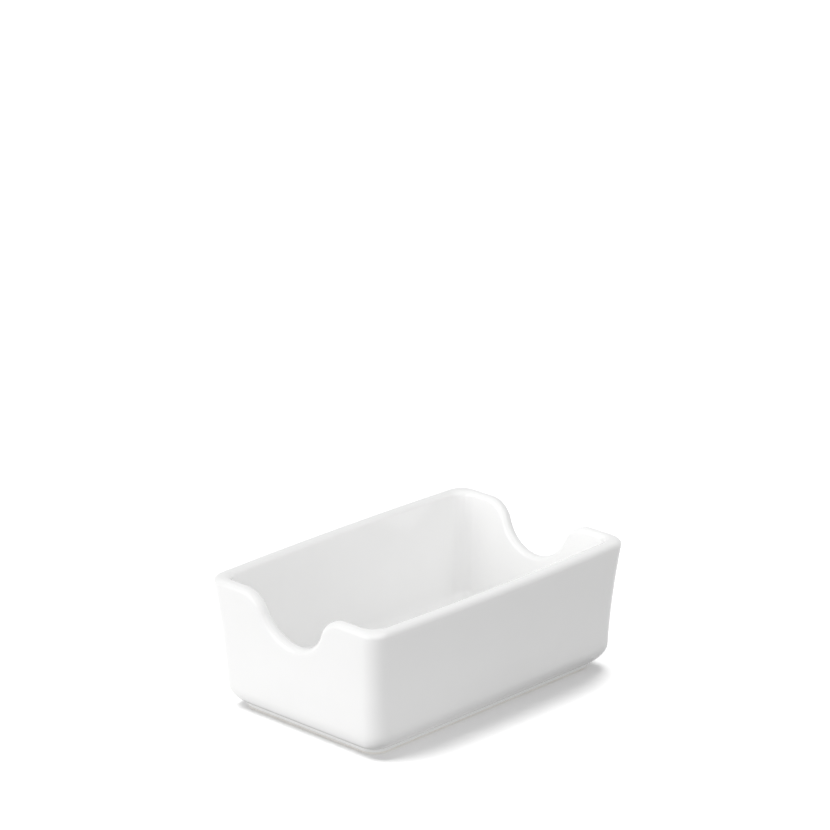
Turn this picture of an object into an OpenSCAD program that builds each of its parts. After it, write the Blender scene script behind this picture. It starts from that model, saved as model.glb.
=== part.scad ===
// Tea bag holder: a ceramic tray with flared walls, a flat rim with rounded edges, a finger notch in each
// end and a low foot ring. The fired clay is covered by glaze that stops short of the standing face.
// The origin is the middle of the standing face, X runs along the length and Z is up.

/* [Tray] */
// Length over the rim
length = 115; // [100:1:140]
// Width over the rim
width = 75; // [68:0.5:95]
// Height over the rim
height = 43.5; // [38:0.5:60]
// Thickness of the walls
wall = 4.2; // [3.7:0.1:6]
// Thickness of the floor above the underside
floor_t = 4.5; // [3:0.1:7]

/* [Walls] */
// Lean of the walls just above the bottom edge, in degrees from upright
base_lean = 2.3; // [1:0.1:8]
// Lean of the walls at the rim, in degrees from upright
rim_lean = 7; // [1:0.1:10]
// How far the long rims bow out at the middle of the length
side_bow = 1; // [0:0.1:1.5]

/* [Corners and edges] */
// Outer radius of the upright corners
corner_r = 5.6; // [4:0.1:9]
// Inner radius of the upright corners
inner_corner_r = 5.4; // [3:0.1:8]
// Radius of the two edges of the rim
rim_r = 1.8; // [0.8:0.1:1.9]
// Radius of the outer bottom edge
bottom_r = 7.5; // [6:0.1:10]
// Radius where the walls run into the floor
floor_r = 6; // [3:0.1:9]

/* [Finger notches] */
// Depth of a notch below the rim
notch_depth = 14.4; // [6:0.1:16]
// Radius of the hollow at the bottom of a notch
notch_r = 13.5; // [11:0.1:16]
// Radius of the shoulders where the rim turns down into a notch
shoulder_r = 9.5; // [6:0.1:11]

/* [Foot ring] */
// How far round the outer bottom edge the foot starts, in degrees from the wall
foot_start = 66; // [55:1:84]
// Height of the foot below the underside
foot_h = 1.2; // [1.1:0.1:4]
// Width of the foot ring
foot_w = 4; // [2.5:0.1:8]
// Rounding of the foot's outer edge
foot_edge_r = 0.4; // [0.2:0.1:0.6]
// Inner corner radius of the foot ring
foot_corner_r = 4; // [2:0.1:8]

/* [Glaze] */
// Thickness of the glaze
glaze = 0.3; // [0.2:0.05:0.5]
// Height of the bare edge of the foot above the standing face
bare_h = 0.7; // [0.6:0.1:1]

/* [Hidden] */

// Facets along each stretch of the section and of the plan
corner_steps = 5;
side_steps = 4;
hollow_steps = 5;
shoulder_steps = 4;
bottom_steps = 5;
wall_steps = 4;
lip_steps = 4;
floor_steps = 5;
round_fn = 64;

// Depth of a cut past the face that it starts from
past = 1;

// Width over the rim at the corners, where the long sides don't bow
corner_width = width - 2 * side_bow;

// The walls are measured on the middle of their thickness, up to the level of the centres of the rim's edges.
// The rim is square to the leaning wall, so the inner edge is its highest
rim_z = height - rim_r - (wall / 2 - rim_r) * sin(rim_lean);
base_z = foot_h + bottom_r * (1 - sin(base_lean));
floor_z = foot_h + floor_t;

// Slope of the wall at a height: it grows evenly from the bottom edge to the rim
function slope(z) = tan(base_lean) + (tan(rim_lean) - tan(base_lean)) * (z - base_z) / (rim_z - base_z);
function lean(z) = atan(slope(z));

// How far a skin lies in from the box round the rim, at an offset inward from the middle of the wall
function skin_in(z, offset) =
    wall / 2 + (rim_z - z) * (tan(rim_lean) + slope(z)) / 2 + offset / cos(lean(z));

// Centre of the outer bottom edge, in from the box round the rim and up
bottom_in = skin_in(base_z, -wall / 2) + bottom_r * cos(base_lean);
bottom_z = foot_h + bottom_r;
foot_in = bottom_in - bottom_r * cos(foot_start);

// Centre of the rounding between the walls and the floor
floor_lean = lean(floor_z + floor_r);
floor_edge_z = floor_z + floor_r * (1 - sin(floor_lean));
floor_in = skin_in(floor_edge_z, wall / 2) + floor_r * cos(floor_lean);

// Outer and inner skin at a depth below the glazed surface: offset from the middle of the wall, corner radius
function outside(depth) = [depth - wall / 2, corner_r - depth];
function inside(depth) = [wall / 2 - depth, inner_corner_r + depth];

// Edge of a notch on the middle of the wall: shoulder arc, hollow arc and their mirror, as [y, z, slope angle]
notch_turn = acos(1 - notch_depth / (notch_r + shoulder_r));
notch_reach = (notch_r + shoulder_r) * sin(notch_turn);
shoulder_path_r = shoulder_r - rim_r;
hollow_path_r = notch_r + rim_r;
half_notch = [
    for (i = [0:shoulder_steps - 1])
        let (turn = notch_turn * i / shoulder_steps)
        [notch_reach - shoulder_path_r * sin(turn), rim_z - shoulder_path_r * (1 - cos(turn)), turn],
    for (i = [hollow_steps:-1:1])
        let (turn = notch_turn * i / hollow_steps)
        [hollow_path_r * sin(turn), rim_z - notch_depth + hollow_path_r * (1 - cos(turn)), turn],
];
notch_edge = [
    for (p = half_notch) [-p.x, p.y, -p.z],
    [0, rim_z - notch_depth, 0],
    for (i = [len(half_notch) - 1:-1:0]) half_notch[i],
];

// Edge of a long side: level, in even steps between the corners
side_reach = length / 2 - corner_r;
side_edge = [for (i = [1:side_steps - 1]) [side_reach * (2 * i / side_steps - 1), rim_z, 0]];

// Stations round the tray, seen from above against the clock from the +X end. Each is the quarter that it
// belongs to, its angle round the corner or undef on a flat, and its place along the flat, height and slope
QUARTER = 0;
TURN = 1;
ALONG = 2;
EDGE_Z = 3;
EDGE_SLOPE = 4;
stations = [
    for (quarter = [0:3]) each [
        for (p = quarter % 2 == 0 ? notch_edge : side_edge) [quarter, undef, p.x, p.y, p.z],
        for (i = [0:corner_steps]) [quarter, 90 * i / corner_steps, 0, rim_z, 0],
    ]
];
around = len(stations);

// Distance from the middle to a flat, and half the length of that flat between its corners
function flat_at(quarter, inset) = (quarter % 2 == 0 ? length : corner_width) / 2 - inset;
function flat_half(quarter, inset, r) = (quarter % 2 == 0 ? corner_width : length) / 2 - inset - r;

// Bow of a long side, which dies out towards the standing face
function bow(quarter, share, z) = quarter % 2 == 0 ? 0 : side_bow * (1 - share * share) * z / rim_z;

// Plan direction at an angle, and a point turned into its quarter
function heading(angle) = [cos(angle), sin(angle), 0];
function turned(quarter, p) = p.x * heading(90 * quarter) + p.y * heading(90 * quarter + 90) + [0, 0, p.z];

// Point of a skin at a station
function spot(s, skin, inset, z) =
    let (r = skin[1])
    let (out = flat_at(s[QUARTER], inset))
    let (half = flat_half(s[QUARTER], inset, r))
    let (share = s[ALONG] / flat_half(s[QUARTER], skin_in(s[EDGE_Z], skin[0]), r))
    turned(
        s[QUARTER],
        is_undef(s[TURN])
            ? [out + bow(s[QUARTER], share, z), share * half, z]
            : [out - r + r * cos(s[TURN]), half + r * sin(s[TURN]), z]
    );

// Point of a skin on the wall, at a share of the way from a height up to the rounding of the rim
function wall_spot(s, skin, from_z, share) =
    let (top = s[EDGE_Z] + skin[0] * sin(lean(s[EDGE_Z])))
    let (z = from_z + share * (top - from_z))
    spot(s, skin, skin_in(z, skin[0]), z);

// Direction out of the rim at a station, square to the rim's edge and along the wall
function rim_up(s) =
    let (angle = 90 * s[QUARTER] + (is_undef(s[TURN]) ? 0 : s[TURN]))
    let (tilt = lean(s[EDGE_Z]))
    let (up = sin(tilt) * heading(angle) + [0, 0, cos(tilt)])
    cos(s[EDGE_SLOPE]) * up - sin(s[EDGE_SLOPE]) * heading(angle + 90);

// Point on an edge of the rim, the outer one at side 1 and the inner one at -1: the turn is 0 degrees on the
// skin of the wall and 90 on the flat top
function lip_spot(s, depth, side, turn) =
    let (outer = wall_spot(s, outside(depth), rim_z, 1))
    let (inner = wall_spot(s, inside(depth), rim_z, 1))
    let (half = wall / 2 - depth)
    let (r = rim_r - depth)
    let (across = side * (half - r + r * cos(turn)))
    (outer + inner) / 2 + across / half * (outer - inner) / 2 + r * sin(turn) * rim_up(s);

function ring(skin, inset, z) = [for (s = stations) spot(s, skin, inset, z)];
function wall_ring(skin, from_z, share) = [for (s = stations) wall_spot(s, skin, from_z, share)];
function lip_ring(depth, side, turn) = [for (s = stations) lip_spot(s, depth, side, turn)];

// Rings of the surface at a depth below the glaze: up the outside from the foot, over the rim, down to the floor
function tray_rings(depth) =
    let (edge_r = bottom_r - depth)
    let (foot_turn = acos((bottom_in - foot_in - depth) / edge_r))
    let (well_r = floor_r + depth)
    [
        ring(outside(depth), foot_in + depth, bare_h),
        for (i = [0:bottom_steps])
            let (turn = foot_turn + (base_lean - foot_turn) * i / bottom_steps)
            ring(outside(depth), bottom_in - edge_r * cos(turn), bottom_z - edge_r * sin(turn)),
        for (i = [1:wall_steps])
            wall_ring(outside(depth), bottom_z - edge_r * sin(base_lean), i / wall_steps),
        for (i = [1:lip_steps]) lip_ring(depth, 1, 90 * i / lip_steps),
        for (i = [lip_steps:-1:1]) lip_ring(depth, -1, 90 * i / lip_steps),
        for (i = [wall_steps:-1:1])
            wall_ring(inside(depth), floor_z + floor_r - well_r * sin(floor_lean), i / wall_steps),
        for (i = [0:floor_steps])
            let (turn = floor_lean + (90 - floor_lean) * i / floor_steps)
            ring(inside(depth), floor_in - well_r * cos(turn), floor_z + floor_r - well_r * sin(turn)),
    ];

// Rings of the foot's outer edge, from the standing face up to the bare clay's limit
function foot_rings() = [
    for (turn = [90, 45, 0])
        ring(
            outside(glaze),
            foot_in + glaze + foot_edge_r * (1 - cos(turn)),
            foot_edge_r * (1 - sin(turn))
        )
];

// Two triangles for each step round and up a stack of rings, seen from outside when the rings turn against the clock
function quad(a, b, c, d) = [[a, c, b], [b, c, d]];
function bands(count, first = 0) = [
    for (row = [0:count - 2], i = [0:around - 1])
        let (a = first + row * around)
        let (next = (i + 1) % around)
        each quad(a + i, a + next, a + around + i, a + around + next)
];
function fan(first, centre) = [for (i = [0:around - 1]) [centre, first + i, first + (i + 1) % around]];
function flipped(faces) = [for (f = faces) [f[0], f[2], f[1]]];
function flat_rings(rings) = [for (r = rings) each r];

// Closed solid through a stack of rings, with a flat face at each end
module lofted(rings) {
    last = len(rings) - 1;
    foot_centre = len(rings) * around;
    points = concat(flat_rings(rings), [[0, 0, rings[0][0].z], [0, 0, rings[last][0].z]]);
    faces = concat(
        bands(len(rings)),
        fan(0, foot_centre),
        flipped(fan(last * around, foot_centre + 1))
    );
    polyhedron(points, faces);
}

// Closed coat between two stacks of rings that end on the same floor and stop on the same edge
module coated(outer, inner) {
    count = len(outer);
    last = count - 1;
    second = count * around;
    centre = 2 * second;
    points = concat(
        flat_rings(outer),
        flat_rings(inner),
        [[0, 0, outer[last][0].z], [0, 0, inner[last][0].z]]
    );
    edge = [
        for (i = [0:around - 1])
            each quad(second + i, second + (i + 1) % around, i, (i + 1) % around)
    ];
    faces = concat(
        bands(count),
        flipped(fan(last * around, centre)),
        flipped(bands(count, second)),
        fan(second + last * around, centre + 1),
        edge
    );
    polyhedron(points, faces);
}

// Plate with the outline of the recess inside the foot ring, between two heights, held in by a margin
module recess(from_z, to_z, margin) {
    size = [length, corner_width] - 2 * (foot_in + foot_w - glaze + margin) * [1, 1];
    r = foot_corner_r - margin;
    translate([0, 0, from_z])
        linear_extrude(to_z - from_z) {
            square(size - [2 * r, 0], center = true);
            square(size - [0, 2 * r], center = true);
            for (x = [-1, 1], y = [-1, 1])
                translate([x * (size.x / 2 - r), y * (size.y / 2 - r)])
                    circle(r, $fn = round_fn);
        }
}

// Fired clay tray: floor, walls, rim, notches and foot ring in one piece
module clay_body() {
    color("#efe9df")
        difference() {
            lofted(concat(foot_rings(), tray_rings(glaze)));
            recess(-past, foot_h + glaze, 0);
        }
}

// Glaze over the outside, the rim, the notches and the inside
module glaze_coat() {
    color("#fbfbf9")
        coated(tray_rings(0), tray_rings(glaze));
}

// Glaze on the underside within the foot ring, down to the bare edge of the foot
module underside_glaze() {
    color("#f6f6f3")
        difference() {
            recess(bare_h, foot_h + glaze, 0);
            recess(bare_h - past, foot_h, glaze);
        }
}

clay_body();
glaze_coat();
underside_glaze();
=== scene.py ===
from collections import namedtuple
from math import acos, atan, atan2, cos, pi, radians, sin, sqrt, tan

import bmesh
import bpy
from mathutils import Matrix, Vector


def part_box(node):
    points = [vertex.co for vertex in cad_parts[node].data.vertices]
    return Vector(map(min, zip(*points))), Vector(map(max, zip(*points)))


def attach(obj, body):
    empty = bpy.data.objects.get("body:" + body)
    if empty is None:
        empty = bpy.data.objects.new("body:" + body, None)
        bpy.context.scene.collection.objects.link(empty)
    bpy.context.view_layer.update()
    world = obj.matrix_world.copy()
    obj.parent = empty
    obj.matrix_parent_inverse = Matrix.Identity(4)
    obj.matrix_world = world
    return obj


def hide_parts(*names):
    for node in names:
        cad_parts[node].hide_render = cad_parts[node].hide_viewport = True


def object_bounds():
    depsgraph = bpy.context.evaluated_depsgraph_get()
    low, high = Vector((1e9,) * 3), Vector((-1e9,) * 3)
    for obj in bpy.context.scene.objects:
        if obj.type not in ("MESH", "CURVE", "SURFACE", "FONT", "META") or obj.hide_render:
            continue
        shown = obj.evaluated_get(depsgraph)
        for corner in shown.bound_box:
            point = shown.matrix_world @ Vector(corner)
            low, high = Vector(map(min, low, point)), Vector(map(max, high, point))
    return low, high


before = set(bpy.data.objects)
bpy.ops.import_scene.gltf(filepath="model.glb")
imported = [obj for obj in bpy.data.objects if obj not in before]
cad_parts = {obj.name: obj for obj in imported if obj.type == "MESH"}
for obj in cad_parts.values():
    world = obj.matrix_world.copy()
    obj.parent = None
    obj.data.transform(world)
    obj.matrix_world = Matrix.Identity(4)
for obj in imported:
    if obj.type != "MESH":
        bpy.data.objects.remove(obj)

cad_low, cad_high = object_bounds()

# Clay tray: the body of the holder, pressed in white clay and fired. The walls flare out from a rounded
# bottom edge, the rim has two rounded edges and each end has a finger notch. It stands on a foot ring
# whose standing face is left bare, because glaze would stick to the kiln shelf.
coat_low, coat_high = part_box("glaze_coat")
tray_length = coat_high.x - coat_low.x
tray_width = coat_high.y - coat_low.y
tray_height = coat_high.z - cad_low.z
wall = 0.0042
floor_thickness = 0.0045
base_lean = radians(2.3)
rim_lean = radians(7)
side_bow = 0.001
corner_r = 0.0056
inner_corner_r = 0.0054
rim_r = 0.0018
bottom_r = 0.0075
floor_r = 0.006
notch_depth = 0.0144
notch_r = 0.0135
shoulder_r = 0.0095
foot_start = radians(66)
foot_height = 0.0012
foot_width = 0.004
foot_edge_r = 0.0004
foot_corner_r = 0.004
glaze = 0.0003
bare_height = 0.0007

corner_width = tray_width - 2 * side_bow
rim_z = tray_height - rim_r - (wall / 2 - rim_r) * sin(rim_lean)
bottom_edge_z = foot_height + bottom_r * (1 - sin(base_lean))
floor_z = foot_height + floor_thickness


def wall_slope(z):
    """How far the wall leans out for each unit of height: it grows evenly up to the rim."""
    rise = (z - bottom_edge_z) / (rim_z - bottom_edge_z)
    return tan(base_lean) + (tan(rim_lean) - tan(base_lean)) * rise


def skin_inset(z, offset):
    """How far a skin lies in from the rim's outer edge, at an offset inward from the middle of the wall."""
    run = (rim_z - z) * (tan(rim_lean) + wall_slope(z)) / 2
    return wall / 2 + run + offset / cos(atan(wall_slope(z)))


bottom_inset = skin_inset(bottom_edge_z, -wall / 2) + bottom_r * cos(base_lean)
bottom_centre_z = foot_height + bottom_r
foot_inset = bottom_inset - bottom_r * cos(foot_start)
floor_lean = atan(wall_slope(floor_z + floor_r))
floor_edge_z = floor_z + floor_r * (1 - sin(floor_lean))
floor_inset = skin_inset(floor_edge_z, wall / 2) + floor_r * cos(floor_lean)

# The tray is a stack of rings through stations on its plan: the quarter that a station is in, its angle
# round the corner or None on a flat, its place along that flat, and the rim's height and slope there
Station = namedtuple("Station", "quarter turn along edge_z edge_slope")
corner_steps, side_steps, end_steps, hollow_steps, shoulder_steps = 20, 36, 5, 20, 14


def notch_edge():
    """Edge of an end wall from its middle to its corner: hollow, shoulder, then the level rim."""
    turn = acos(1 - notch_depth / (notch_r + shoulder_r))
    reach = (notch_r + shoulder_r) * sin(turn)
    hollow, shoulder = notch_r + rim_r, shoulder_r - rim_r
    for i in range(hollow_steps):
        a = turn * i / hollow_steps
        yield hollow * sin(a), rim_z - notch_depth + hollow * (1 - cos(a)), a
    for i in range(shoulder_steps):
        a = turn * (1 - i / shoulder_steps)
        yield reach - shoulder * sin(a), rim_z - shoulder * (1 - cos(a)), a
    level = corner_width / 2 - wall - inner_corner_r - reach
    for i in range(end_steps):
        yield reach + level * i / end_steps, rim_z, 0.0


def tray_stations():
    """Stations round the plan: each end or long side in turn, with the corner after it."""
    half_end = list(notch_edge())
    end = [(-y, z, -a) for y, z, a in reversed(half_end[1:])] + half_end
    reach = tray_length / 2 - wall - inner_corner_r
    side = [(reach * (2 * i / side_steps - 1), rim_z, 0.0) for i in range(1, side_steps)]
    for quarter in range(4):
        for along, z, a in side if quarter % 2 else end:
            yield Station(quarter, None, along, z, a)
        for i in range(corner_steps + 1):
            yield Station(quarter, pi / 2 * i / corner_steps, 0.0, rim_z, 0.0)


stations = list(tray_stations())


def outside(depth):
    """The outer skin at a depth below the glaze: its offset from the wall's middle and corner radius."""
    return depth - wall / 2, corner_r - depth


def inside(depth):
    """The inner skin at a depth below the glaze, given in the same way."""
    return wall / 2 - depth, inner_corner_r + depth


def heading(angle):
    """Level direction at an angle round from +X."""
    return Vector((cos(angle), sin(angle), 0))


def half_flat(quarter, inset, r):
    """Half the straight run of a skin between its corners, on an end or a long side."""
    return (tray_length if quarter % 2 else corner_width) / 2 - inset - r


def spot(s, skin, inset, z):
    """Point of a skin at a station."""
    offset, r = skin
    out = (corner_width if s.quarter % 2 else tray_length) / 2 - inset
    half = half_flat(s.quarter, inset, r)
    if s.turn is None:
        share = s.along / half_flat(s.quarter, skin_inset(s.edge_z, offset), r)
        bow = side_bow * (1 - share * share) * z / rim_z if s.quarter % 2 else 0
        x, y = out + bow, share * half
    else:
        x, y = out - r + r * cos(s.turn), half + r * sin(s.turn)
    across = pi / 2 * s.quarter
    return x * heading(across) + y * heading(across + pi / 2) + Vector((0, 0, z))


def wall_spot(s, skin, from_z, share):
    """Point of a skin on the wall, at a share of the way from a height up to the rounding of the rim."""
    top = s.edge_z + skin[0] * sin(atan(wall_slope(s.edge_z)))
    z = from_z + share * (top - from_z)
    return spot(s, skin, skin_inset(z, skin[0]), z)


def rim_spot(s, depth, side, turn):
    """Point on an edge of the rim, the outer at side 1 and the inner at -1, from the wall up to its top."""
    outer = wall_spot(s, outside(depth), rim_z, 1)
    inner = wall_spot(s, inside(depth), rim_z, 1)
    facing = pi / 2 * s.quarter + (s.turn or 0)
    tilt = atan(wall_slope(s.edge_z))
    up = sin(tilt) * heading(facing) + Vector((0, 0, cos(tilt)))
    up = cos(s.edge_slope) * up - sin(s.edge_slope) * heading(facing + pi / 2)
    half, r = wall / 2 - depth, rim_r - depth
    across = side * (half - r + r * cos(turn)) / half
    return (outer + inner) / 2 + across * (outer - inner) / 2 + r * sin(turn) * up


def ring(skin, inset, z):
    """Ring of a skin at one inset and one height."""
    return [spot(s, skin, inset, z) for s in stations]


def shares(steps):
    """Even shares from 0 to 1."""
    return [i / steps for i in range(steps + 1)]


bottom_steps, wall_steps, rim_steps, floor_steps = 12, 18, 10, 12


def wall_and_rim_rings(depth, foot_turn):
    """Rings at a depth below the glaze, from the bottom edge up, over the rim and down to the floor."""
    edge_r, well_r = bottom_r - depth, floor_r + depth
    for t in shares(bottom_steps):
        a = foot_turn + (base_lean - foot_turn) * t
        yield ring(outside(depth), bottom_inset - edge_r * cos(a), bottom_centre_z - edge_r * sin(a))
    start_z = bottom_centre_z - edge_r * sin(base_lean)
    for t in shares(wall_steps)[1:]:
        yield [wall_spot(s, outside(depth), start_z, t) for s in stations]
    for t in shares(rim_steps)[1:]:
        yield [rim_spot(s, depth, 1, pi / 2 * t) for s in stations]
    for t in reversed(shares(rim_steps)[1:]):
        yield [rim_spot(s, depth, -1, pi / 2 * t) for s in stations]
    end_z = floor_z + floor_r - well_r * sin(floor_lean)
    for t in reversed(shares(wall_steps)[1:]):
        yield [wall_spot(s, inside(depth), end_z, t) for s in stations]
    for t in shares(floor_steps):
        a = floor_lean + (pi / 2 - floor_lean) * t
        yield ring(inside(depth), floor_inset - well_r * cos(a), floor_z + floor_r - well_r * sin(a))


def crease_turn(depth):
    """How far round the bottom edge the foot's side meets it, at a depth below the glaze."""
    return acos((bottom_inset - foot_inset - depth) / (bottom_r - depth))


cap_shares = (0.85, 0.65, 0.45, 0.25)


def closed_form(name, rings):
    """Mesh object through a stack of rings, with a flat cap of shrinking rings at each end."""
    def cap(edge):
        middle = Vector((0, 0, edge[0].z))
        return middle, [[middle + (p - middle) * t for p in edge] for t in cap_shares]

    first, first_cap = cap(rings[0])
    last, last_cap = cap(rings[-1])
    form = bmesh.new()
    rows = [[form.verts.new(p) for p in r] for r in first_cap[::-1] + rings + last_cap]
    count = len(stations)
    for low, high in zip(rows, rows[1:]):
        for i in range(count):
            j = (i + 1) % count
            form.faces.new((low[i], low[j], high[j], high[i]))
    for middle, row in ((first, rows[0]), (last, rows[-1])):
        hub = form.verts.new(middle)
        for i in range(count):
            form.faces.new((hub, row[i], row[(i + 1) % count]))
    bmesh.ops.recalc_face_normals(form, faces=form.faces)
    mesh = bpy.data.meshes.new(name)
    form.to_mesh(mesh)
    form.free()
    mesh.shade_smooth()
    piece = bpy.data.objects.new(name, mesh)
    bpy.context.scene.collection.objects.link(piece)
    return piece


recess_inset = foot_inset + foot_width - glaze
recess_edge_r = 0.0003
arc_steps = 6


def recess_ring(margin, z):
    """Outline of the recess inside the foot ring, held in by a margin."""
    return ring((0, foot_corner_r - margin), recess_inset + margin, z)


def foot_rings():
    """Rings of the bare foot: down the recess, across the standing face and up the outer edge."""
    yield recess_ring(0, foot_height + glaze)
    yield recess_ring(0, bare_height)
    for t in shares(arc_steps):
        a = pi / 2 * t
        yield recess_ring(-recess_edge_r * (1 - cos(a)), recess_edge_r * (1 - sin(a)))
    for t in shares(arc_steps):
        a = pi / 2 * (1 - t)
        inset = foot_inset + glaze + foot_edge_r * (1 - cos(a))
        yield ring(outside(glaze), inset, foot_edge_r * (1 - sin(a)))
    yield ring(outside(glaze), foot_inset + glaze, bare_height)


clay_rings = list(foot_rings()) + list(wall_and_rim_rings(glaze, crease_turn(glaze)))
clay_tray = closed_form("clay_tray", clay_rings)


def finish(name, colour, roughness):
    """A new surface finish, with its nodes, links and main shader."""
    made = bpy.data.materials.new(name)
    made.use_nodes = True
    made.diffuse_color = (*colour, 1)
    nodes, links = made.node_tree.nodes, made.node_tree.links
    shader = nodes["Principled BSDF"]
    shader.inputs["Base Color"].default_value = (*colour, 1)
    shader.inputs["Roughness"].default_value = roughness
    return made, nodes, links, shader


def speckle(nodes, links, size, detail):
    """Soft cloudy pattern over the piece, with spots of about a size in metres."""
    place = nodes.new("ShaderNodeTexCoord")
    cloud = nodes.new("ShaderNodeTexNoise")
    cloud.inputs["Scale"].default_value = 1 / size
    cloud.inputs["Detail"].default_value = detail
    links.new(place.outputs["Object"], cloud.inputs["Vector"])
    return cloud.outputs["Fac"]


cloud_low, cloud_high = 0.3, 0.7


def between(nodes, links, pattern, low, high):
    """The pattern turned into a number that varies from low to high."""
    spread = nodes.new("ShaderNodeMapRange")
    spread.inputs["From Min"].default_value = cloud_low
    spread.inputs["From Max"].default_value = cloud_high
    spread.inputs["To Min"].default_value = low
    spread.inputs["To Max"].default_value = high
    links.new(pattern, spread.inputs["Value"])
    return spread.outputs["Result"]


def tinted(nodes, links, share, plain, tint):
    """Colour that runs from plain to tint as the share goes from 0 to 1."""
    mixed = nodes.new("ShaderNodeMix")
    mixed.data_type = "RGBA"
    mixed.inputs["A"].default_value = (*plain, 1)
    mixed.inputs["B"].default_value = (*tint, 1)
    links.new(share, mixed.inputs["Factor"])
    return mixed.outputs["Result"]


def raised(nodes, links, pattern, height, under=None):
    """Unevenness of a height in metres, over another one where there are two."""
    bump = nodes.new("ShaderNodeBump")
    bump.inputs["Distance"].default_value = height
    links.new(pattern, bump.inputs["Height"])
    if under:
        links.new(under, bump.inputs["Normal"])
    return bump.outputs["Normal"]


clay_cream = (0.86, 0.84, 0.80)
clay_grey = (0.80, 0.78, 0.73)
clay_roughness, clay_smoothest, clay_roughest = 0.85, 0.75, 0.95
grain_size, grain_height = 0.0004, 0.00006
stain_size = 0.006
bare_clay, nodes, links, shader = finish("bare_clay", clay_cream, clay_roughness)
grain = speckle(nodes, links, grain_size, detail=4)
stain = speckle(nodes, links, stain_size, detail=3)
links.new(tinted(nodes, links, between(nodes, links, stain, 0, 1), clay_cream, clay_grey),
          shader.inputs["Base Color"])
links.new(between(nodes, links, grain, clay_smoothest, clay_roughest), shader.inputs["Roughness"])
links.new(raised(nodes, links, grain, grain_height), shader.inputs["Normal"])
clay_tray.data.materials.append(bare_clay)
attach(clay_tray, "root")
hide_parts("clay_body")

# Glaze coat: glossy white glass melted over the clay, inside and out, in one even coat. It gathers in the
# crease over the foot and ends in a rounded bead on the side of the foot, clear of the standing face.
pool_r = 0.0006
pool_z = bottom_centre_z - sqrt((bottom_r + pool_r) ** 2 - (bottom_inset - foot_inset + pool_r) ** 2)
pool_turn = atan2(bottom_centre_z - pool_z, bottom_inset - foot_inset + pool_r)


def bead_and_pool_rings():
    """Rings of the coat's bead, up the side of the foot and round the glaze that gathers under the edge."""
    for t in shares(arc_steps)[1:]:
        a = pi / 2 * t
        yield ring(outside(0), foot_inset + glaze * (1 - sin(a)), bare_height + glaze * (1 - cos(a)))
    for t in shares(arc_steps)[:-1]:
        a = pool_turn * t
        inset = foot_inset - pool_r * (1 - cos(a))
        yield ring(outside(0), inset, pool_z + pool_r * sin(a))


under_rings = [ring(outside(glaze), foot_inset + glaze, bare_height)]
under_rings += wall_and_rim_rings(glaze, crease_turn(glaze))
coat_rings = under_rings[::-1] + list(bead_and_pool_rings()) + list(wall_and_rim_rings(0, pool_turn))
glaze_coat = closed_form("glaze_coating", coat_rings)

glaze_white = (0.95, 0.95, 0.947)
glaze_shade = (0.942, 0.942, 0.938)
glaze_roughness, glaze_smoothest, glaze_roughest = 0.08, 0.06, 0.12
glaze_ior = 1.5
flow_size, flow_height = 0.014, 0.00012
peel_size, peel_height = 0.0012, 0.000004
white_glaze, nodes, links, shader = finish("white_glaze", glaze_white, glaze_roughness)
shader.inputs["IOR"].default_value = glaze_ior
flow = speckle(nodes, links, flow_size, detail=2)
peel = speckle(nodes, links, peel_size, detail=2)
links.new(tinted(nodes, links, between(nodes, links, flow, 0, 1), glaze_white, glaze_shade),
          shader.inputs["Base Color"])
links.new(between(nodes, links, flow, glaze_smoothest, glaze_roughest), shader.inputs["Roughness"])
waves = raised(nodes, links, flow, flow_height)
links.new(raised(nodes, links, peel, peel_height, waves), shader.inputs["Normal"])
glaze_coat.data.materials.append(white_glaze)
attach(glaze_coat, "root")
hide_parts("glaze_coat")

# Underside glaze: the patch of the same white glaze in the recess inside the foot ring. It is poured in,
# gathers in the angle under the floor and ends in a bead on the inner side of the foot.
recess_pool_r = 0.00015


def underside_rings():
    """Rings of the patch: its upper face on the clay, down the side, round the bead and up to its face."""
    yield recess_ring(0, foot_height + glaze)
    yield recess_ring(0, bare_height)
    for t in shares(arc_steps)[1:]:
        a = pi / 2 * t
        yield recess_ring(glaze * sin(a), bare_height + glaze * (1 - cos(a)))
    for t in shares(arc_steps):
        a = pi / 2 * t
        margin = glaze + recess_pool_r * (1 - cos(a))
        yield recess_ring(margin, foot_height - recess_pool_r * (1 - sin(a)))


underside_glaze = closed_form("underside_glazing", list(underside_rings()))
underside_white = (0.87, 0.868, 0.855)
underside_roughness, underside_smoothest, underside_roughest = 0.1, 0.08, 0.16
pour_size, pour_height = 0.009, 0.00015
underside_finish, nodes, links, shader = finish("underside_glaze", underside_white, underside_roughness)
shader.inputs["IOR"].default_value = glaze_ior
pour = speckle(nodes, links, pour_size, detail=2)
links.new(tinted(nodes, links, between(nodes, links, pour, 0, 1), underside_white, glaze_shade),
          shader.inputs["Base Color"])
links.new(between(nodes, links, pour, underside_smoothest, underside_roughest),
          shader.inputs["Roughness"])
links.new(raised(nodes, links, pour, pour_height), shader.inputs["Normal"])
underside_glaze.data.materials.append(underside_finish)
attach(underside_glaze, "root")
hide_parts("underside_glaze")

# Table: a wide plain white surface under the holder, which keeps its soft shadow. It sends a soft glow
# up at the holder, painted light that stands in for light bounced off the table, dimmer towards the front,
# and a painted shade in a narrow strip along the foot of the left end, which darkens that foot.
table_r = 4.0
# Painted light: the table's glow stands in for bounced light, brighter at the left and dimmer at the front.
left_glow, front_glow = 0.65, 0.22
glow_turn = radians(-65)
glow_fades_from, glow_fades_to = -0.03, 0.10
# Painted shade: the glow drops to this level in a narrow strip along the foot of the left end.
shade_glow = 0.25
shade_x, shade_half_width = -0.0525, 0.0025
table_seen = (0.95, 0.95, 0.95)
table_lift = 0.045
top = bmesh.new()
bmesh.ops.create_circle(top, cap_ends=True, segments=96, radius=table_r)
table_mesh = bpy.data.meshes.new("table")
top.to_mesh(table_mesh)
top.free()
table = bpy.data.objects.new("table", table_mesh)
bpy.context.scene.collection.objects.link(table)


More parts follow.
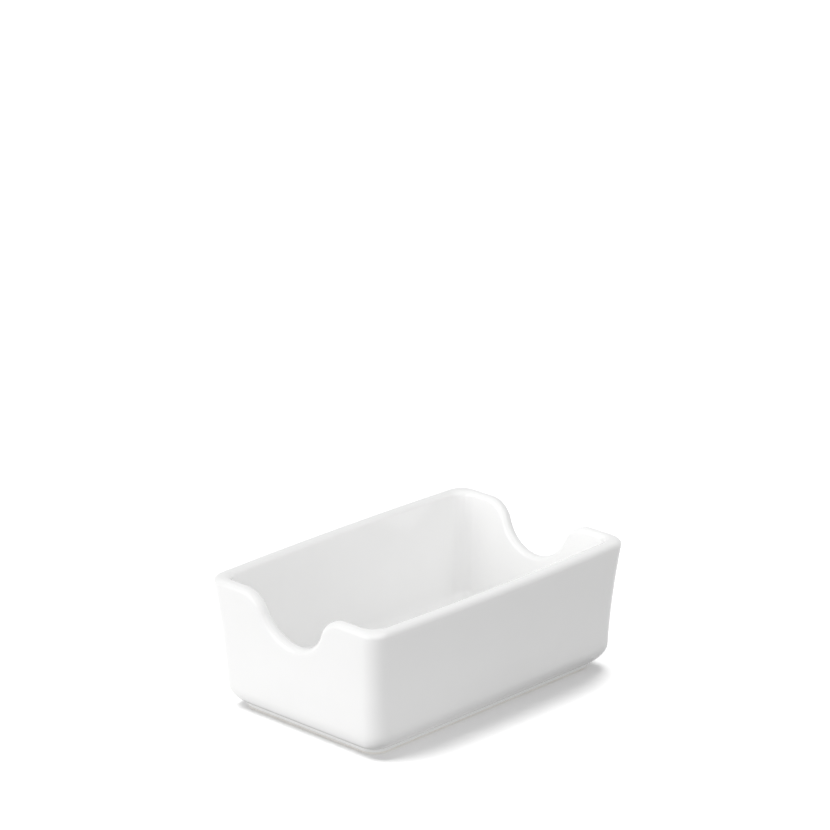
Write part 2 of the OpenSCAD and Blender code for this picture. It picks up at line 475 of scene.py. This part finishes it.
def seen_or_mirrored(nodes, links):
    """1 on rays from the camera and on mirrored or clear ones, 0 on the rays that light things."""
    path = nodes.new("ShaderNodeLightPath")
    total = path.outputs["Is Camera Ray"]
    for name in ("Is Glossy Ray", "Is Transmission Ray"):
        either = nodes.new("ShaderNodeMath")
        either.operation = "MAXIMUM"
        links.new(total, either.inputs[0])
        links.new(path.outputs[name], either.inputs[1])
        total = either.outputs[0]
    return total


table_white = bpy.data.materials.new("table_white")
table_white.use_nodes = True
nodes, links = table_white.node_tree.nodes, table_white.node_tree.links
nodes.clear()
place = nodes.new("ShaderNodeTexCoord")
along = nodes.new("ShaderNodeVectorMath")
along.operation = "DOT_PRODUCT"
along.inputs[1].default_value = heading(glow_turn)
fade = nodes.new("ShaderNodeMapRange")
fade.interpolation_type = "SMOOTHSTEP"
fade.inputs["From Min"].default_value = glow_fades_from
fade.inputs["From Max"].default_value = glow_fades_to
fade.inputs["To Min"].default_value = left_glow
fade.inputs["To Max"].default_value = front_glow
across = nodes.new("ShaderNodeSeparateXYZ")
# Painted shade: a strip along the left foot where the table's glow is dimmed, to darken that foot.
foot_shade_strip = nodes.new("ShaderNodeMath")
foot_shade_strip.operation = "COMPARE"
foot_shade_strip.inputs[1].default_value = shade_x
foot_shade_strip.inputs[2].default_value = shade_half_width
shaded = nodes.new("ShaderNodeMix")
shaded.inputs["B"].default_value = shade_glow
glow = nodes.new("ShaderNodeEmission")
links.new(place.outputs["Object"], along.inputs[0])
links.new(along.outputs["Value"], fade.inputs["Value"])
links.new(place.outputs["Object"], across.inputs["Vector"])
links.new(across.outputs["X"], foot_shade_strip.inputs[0])
links.new(foot_shade_strip.outputs[0], shaded.inputs["Factor"])
links.new(fade.outputs["Result"], shaded.inputs["A"])
links.new(shaded.outputs["Result"], glow.inputs["Strength"])
bright = nodes.new("ShaderNodeBsdfDiffuse")
bright.inputs["Color"].default_value = (*table_seen, 1)
lift = nodes.new("ShaderNodeEmission")
lift.inputs["Strength"].default_value = table_lift
lifted = nodes.new("ShaderNodeAddShader")
either = nodes.new("ShaderNodeMixShader")
out = nodes.new("ShaderNodeOutputMaterial")
links.new(bright.outputs[0], lifted.inputs[0])
links.new(lift.outputs[0], lifted.inputs[1])
links.new(seen_or_mirrored(nodes, links), either.inputs["Fac"])
links.new(glow.outputs[0], either.inputs[1])
links.new(lifted.outputs[0], either.inputs[2])
links.new(either.outputs[0], out.inputs["Surface"])
table.data.materials.append(table_white)

# Studio: soft white light all round, a broad lamp low on the left and a softbox over the front for the
# holder. A pair of lamps behind it, left and right, light the table and leave a shadow along the front.
room_level, room_seen = 0.605, 1.0
room = bpy.data.worlds.new("room")
room.use_nodes = True
bpy.context.scene.world = room
nodes, links = room.node_tree.nodes, room.node_tree.links
walls = nodes["Background"]
level = nodes.new("ShaderNodeMix")
level.inputs["A"].default_value = room_level
level.inputs["B"].default_value = room_seen
links.new(seen_or_mirrored(nodes, links), level.inputs["Factor"])
walls.inputs["Color"].default_value = (1, 1, 1, 1)
links.new(level.outputs["Result"], walls.inputs["Strength"])


def hung(light, turn, rise, distance, lit):
    """Hangs a lamp in a direction from the holder, to light some pieces only."""
    lamp = bpy.data.objects.new(light.name, light)
    lamp.location = distance * (cos(rise) * heading(turn) + Vector((0, 0, sin(rise))))
    lamp.rotation_euler = lamp.location.to_track_quat("Z", "Y").to_euler()
    bpy.context.scene.collection.objects.link(lamp)
    pieces = bpy.data.collections.new(light.name)
    for piece in lit:
        pieces.objects.link(piece)
    lamp.light_linking.receiver_collection = pieces


def far_lamp(name, turn, rise, level, spread, lit):
    """A broad lamp far off; level 1 shows a colour that faces it as it is written."""
    light = bpy.data.lights.new(name, "SUN")
    light.energy = level * pi
    light.angle = spread
    hung(light, turn, rise, distance=1.0, lit=lit)


def softbox(name, turn, rise, distance, size, level, lit):
    """A round softbox near by; level 1 shows a colour that faces it as it is written."""
    light = bpy.data.lights.new(name, "AREA")
    light.shape = "DISK"
    light.size = size
    light.energy = level * (pi * distance) ** 2
    hung(light, turn, rise, distance, lit)


holder = (clay_tray, glaze_coat, underside_glaze)
far_lamp("key_lamp", turn=radians(166), rise=radians(13), level=0.465, spread=radians(60), lit=holder)
softbox("front_softbox", turn=radians(265), rise=radians(52), distance=0.4, size=0.5, level=0.27,
        lit=holder)
table_lamp_rise, table_lamp_spread = radians(65), radians(28)
far_lamp("left_table_lamp", radians(152), table_lamp_rise, 0.7, table_lamp_spread, [table])
far_lamp("right_table_lamp", radians(28), table_lamp_rise, 0.55, table_lamp_spread, [table])

# Camera: a long lens far off, at the photograph's height and angle. It is moved up and a little to the
# left, so that the holder stands low in the frame.
view_turn = radians(-46.19)
view_rise = radians(19.120)
view_distance = 1.2842
camera_up = 0.08511
camera_left = 0.00151
lens_mm = 176.63
sensor_mm = 36.0
back = Vector((sin(view_turn) * cos(view_rise), -cos(view_turn) * cos(view_rise), sin(view_rise)))
right = heading(view_turn)
camera = bpy.data.objects.new("camera", bpy.data.cameras.new("camera"))
camera.data.sensor_width = sensor_mm
camera.data.lens = lens_mm
camera.location = back * view_distance + back.cross(right) * camera_up - right * camera_left
camera.rotation_euler = back.to_track_quat("Z", "Y").to_euler()
bpy.context.scene.collection.objects.link(camera)
bpy.context.scene.camera = camera
bpy.context.scene.view_settings.view_transform = "Standard"
